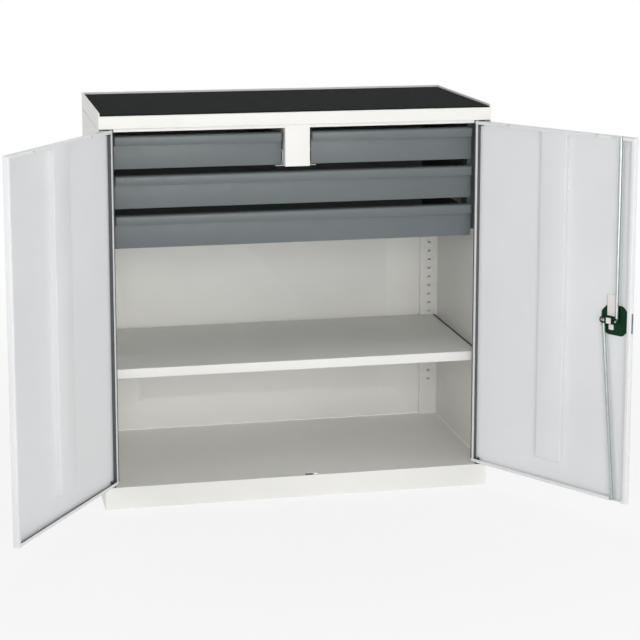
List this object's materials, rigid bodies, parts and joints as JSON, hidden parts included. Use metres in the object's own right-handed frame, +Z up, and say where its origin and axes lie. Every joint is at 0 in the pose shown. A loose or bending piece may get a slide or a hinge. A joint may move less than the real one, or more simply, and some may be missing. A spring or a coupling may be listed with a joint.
{
  "type": "tool cabinet",
  "caption": "Low sheet steel tool cabinet with hinged pan doors and a rod lock, drawers on runners, a shelf on clips and a rubber-matted lid.",
  "frame": {"origin": "on the floor under the middle of the carcass, at half its width and half its depth", "axes": "+Z up, front towards -Y, +X to the right of someone facing the front"},
  "size_m": [1.4916, 0.8968, 1.008],
  "materials": {
    "carcass_paint": "satin powder coat",
    "door_paint": "satin powder coat, fine texture",
    "drawer_paint": "satin powder coat, anthracite",
    "zinc": "bright zinc plating",
    "mat_rubber": "fine ribbed",
    "buffer_rubber": "plain, light",
    "seal_foam": "fine foam",
    "dark_plastic": "fine grain",
    "light_plastic": "plain",
    "lock_green": "dark green, semi-gloss",
    "key_metal": "polished"
  },
  "bodies": {
    "cabinet": {"back_panel": "carcass_paint", "base_frame": "carcass_paint", "centre_partition": "carcass_paint", "drawer_hangers": "drawer_paint", "floor_panel": "carcass_paint", "front_post_left": "carcass_paint", "front_post_right": "carcass_paint", "hinge_pins": "zinc", "lower_drawer_rails": "zinc", "rear_upright_left": "carcass_paint", "rear_upright_right": "carcass_paint", "shelf": "carcass_paint", "shelf_clips": "zinc", "side_panel_left": "carcass_paint", "side_panel_right": "carcass_paint", "small_drawer_left_rails": "zinc", "small_drawer_right_rails": "zinc", "top_cap": "carcass_paint", "top_mat": "mat_rubber", "top_rail": "carcass_paint", "upper_drawer_rails": "zinc"},
    "left_door": {"left_door_buffers": "buffer_rubber", "left_door_bushes": "dark_plastic", "left_door_pan": "door_paint", "left_door_seal": "seal_foam", "left_door_stiffener": "door_paint"},
    "right_door": {"right_door_buffers": "buffer_rubber", "right_door_bushes": "dark_plastic", "right_door_pan": "door_paint", "right_door_seal": "seal_foam", "right_door_stiffener": "door_paint", "lock_plate": "lock_green", "lock_pad": "light_plastic", "handle_housing": "light_plastic", "handle_rose": "dark_plastic"},
    "lock": {"lock_arms": "lock_green", "lock_spindle": "zinc", "lock_clip": "light_plastic", "lock_handle": "dark_plastic", "key_plug": "key_metal"},
    "upper_rod": {"upper_rod": "zinc"},
    "lower_rod": {"lower_rod": "zinc"},
    "side_bolt": {"side_bolt": "zinc"},
    "small_drawer_left": {"small_drawer_left_box": "drawer_paint", "small_drawer_left_front": "drawer_paint", "small_drawer_left_grip": "drawer_paint", "small_drawer_left_runners": "zinc"},
    "small_drawer_right": {"small_drawer_right_box": "drawer_paint", "small_drawer_right_front": "drawer_paint", "small_drawer_right_grip": "drawer_paint", "small_drawer_right_runners": "zinc"},
    "upper_drawer": {"upper_drawer_box": "drawer_paint", "upper_drawer_front": "drawer_paint", "upper_drawer_grip": "drawer_paint", "upper_drawer_runners": "zinc"},
    "lower_drawer": {"lower_drawer_box": "drawer_paint", "lower_drawer_front": "drawer_paint", "lower_drawer_grip": "drawer_paint", "lower_drawer_runners": "zinc"}
  },
  "joints": [
    {"name": "left_door_swing", "type": "hinge", "parent": "cabinet", "child": "left_door", "pos_m": [-0.479, -0.242, 0.5], "axis": [0, 0, -1], "range_deg": [-123, 0]},
    {"name": "right_door_swing", "type": "hinge", "parent": "cabinet", "child": "right_door", "pos_m": [0.479, -0.242, 0.5], "axis": [0, 0, 1], "range_deg": [-123, 0]},
    {"name": "lock_turn", "type": "hinge", "parent": "right_door", "child": "lock", "pos_m": [0.7053, -0.59047, 0.5115], "axis": [-0.8387, -0.5446, 0], "range_deg": [0, 90]},
    {"name": "upper_rod_slide", "type": "slide", "parent": "right_door", "child": "upper_rod", "axis": [-0.3851, 0.593, 0.7071], "range_m": [0, 0.0283]},
    {"name": "lower_rod_slide", "type": "slide", "parent": "right_door", "child": "lower_rod", "axis": [0.3851, -0.593, -0.7071], "range_m": [0, 0.0283]},
    {"name": "side_bolt_slide", "type": "slide", "parent": "right_door", "child": "side_bolt", "axis": [0.5446, -0.8387, 0], "range_m": [0, 0.014]},
    {"name": "small_drawer_left_slide", "type": "slide", "parent": "cabinet", "child": "small_drawer_left", "axis": [0, -1, 0], "range_m": [0, 0.38]},
    {"name": "small_drawer_right_slide", "type": "slide", "parent": "cabinet", "child": "small_drawer_right", "axis": [0, -1, 0], "range_m": [0, 0.38]},
    {"name": "upper_drawer_slide", "type": "slide", "parent": "cabinet", "child": "upper_drawer", "axis": [0, -1, 0], "range_m": [0, 0.38]},
    {"name": "lower_drawer_slide", "type": "slide", "parent": "cabinet", "child": "lower_drawer", "axis": [0, -1, 0], "range_m": [0, 0.38]}
  ],
  "couplings": [
    {"joint": "upper_rod_slide", "follows": "lock_turn", "m_per_rad": 0.01801},
    {"joint": "lower_rod_slide", "follows": "lock_turn", "m_per_rad": 0.01801},
    {"joint": "side_bolt_slide", "follows": "lock_turn", "m_per_rad": 0.00891}
  ]
}
